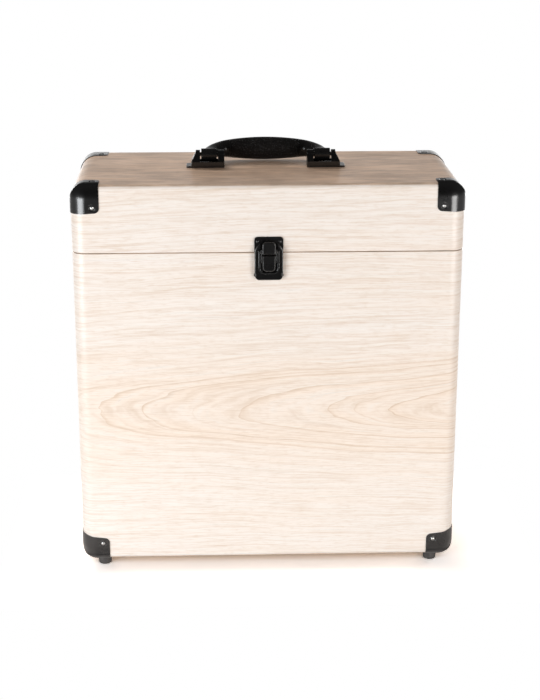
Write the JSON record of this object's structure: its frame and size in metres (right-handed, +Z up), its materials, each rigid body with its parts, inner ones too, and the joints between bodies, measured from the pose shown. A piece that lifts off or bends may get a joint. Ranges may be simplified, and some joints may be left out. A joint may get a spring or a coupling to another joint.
{
  "type": "record carrying case",
  "caption": "Upright hinged-lid case for long-playing records, covered in wood-grain film, with corner guards, feet, a draw latch and a folding handle.",
  "frame": {"origin": "on the floor, in the middle under the box, between the four feet", "axes": "+X to the right seen from the front, -Y out of the front with the latch, +Z up"},
  "size_m": [0.3516, 0.1769, 0.3921],
  "materials": {
    "board": "raw pressed board",
    "wood_grain_covering": "pale cream film printed and embossed with horizontal wood grain",
    "lining_paper": "dark matt lining",
    "guard_black": "black semi-gloss, slightly worn edges",
    "foot_rubber": "matt black rubber",
    "rivet_steel": "plain bright steel",
    "grip_black": "black moulding, leather-grained along the middle",
    "core_steel": "plain steel strip",
    "hardware_black": "black lacquer, satin"
  },
  "bodies": {
    "base": {"base_front_panel": "board", "base_back_panel": "board", "base_left_panel": "board", "base_right_panel": "board", "base_bottom_panel": "board", "base_covering": "wood_grain_covering", "base_lining": "lining_paper", "guard_bottom_front_left": "guard_black", "guard_bottom_front_right": "guard_black", "guard_bottom_back_left": "guard_black", "guard_bottom_back_right": "guard_black", "foot_front_left": "foot_rubber", "foot_front_right": "foot_rubber", "foot_back_left": "foot_rubber", "foot_back_right": "foot_rubber", "base_guard_rivets": "rivet_steel", "foot_screws": "rivet_steel", "latch_housing": "hardware_black", "latch_lever_pin": "hardware_black", "latch_housing_rivets": "hardware_black", "hinge_left_base_leaf": "hardware_black", "hinge_right_base_leaf": "hardware_black", "hinge_left_pin": "hardware_black", "hinge_right_pin": "hardware_black", "hinge_base_screws": "hardware_black"},
    "lid": {"lid_front_panel": "board", "lid_back_panel": "board", "lid_left_panel": "board", "lid_right_panel": "board", "lid_top_panel": "board", "lid_covering": "wood_grain_covering", "lid_lining": "lining_paper", "guard_top_front_left": "guard_black", "guard_top_front_right": "guard_black", "guard_top_back_left": "guard_black", "guard_top_back_right": "guard_black", "lid_guard_rivets": "rivet_steel", "handle_bracket_left": "hardware_black", "handle_bracket_right": "hardware_black", "handle_pin_left": "hardware_black", "handle_pin_right": "hardware_black", "bracket_rivets": "hardware_black", "latch_strike": "hardware_black", "latch_strike_rivets": "hardware_black", "hinge_left_lid_leaf": "hardware_black", "hinge_right_lid_leaf": "hardware_black", "hinge_lid_screws": "hardware_black"},
    "handle": {"handle_grip": "grip_black", "handle_core": "core_steel"},
    "latch_lever": {"latch_lever": "hardware_black", "latch_claw_pin": "hardware_black"},
    "latch_claw": {"latch_claw": "hardware_black"}
  },
  "joints": [
    {"name": "lid_hinge", "type": "hinge", "parent": "base", "child": "lid", "pos_m": [0, 0.0828, 0.3089], "axis": [-1, 0, 0], "range_deg": [0, 100]},
    {"name": "handle_swing", "type": "hinge", "parent": "lid", "child": "handle", "pos_m": [0, 0.0046, 0.3815], "axis": [1, 0, 0], "range_deg": [0, 180]},
    {"name": "latch_lever_turn", "type": "hinge", "parent": "base", "child": "latch_lever", "pos_m": [0, -0.0846, 0.3063], "axis": [-1, 0, 0], "range_deg": [0, 100]},
    {"name": "latch_claw_turn", "type": "hinge", "parent": "latch_lever", "child": "latch_claw", "pos_m": [0, -0.0843, 0.3023], "axis": [-1, 0, 0], "range_deg": [-110, 0]}
  ],
  "couplings": [
    {"joint": "latch_claw_turn", "follows": "latch_lever_turn", "ratio": -1.1}
  ]
}
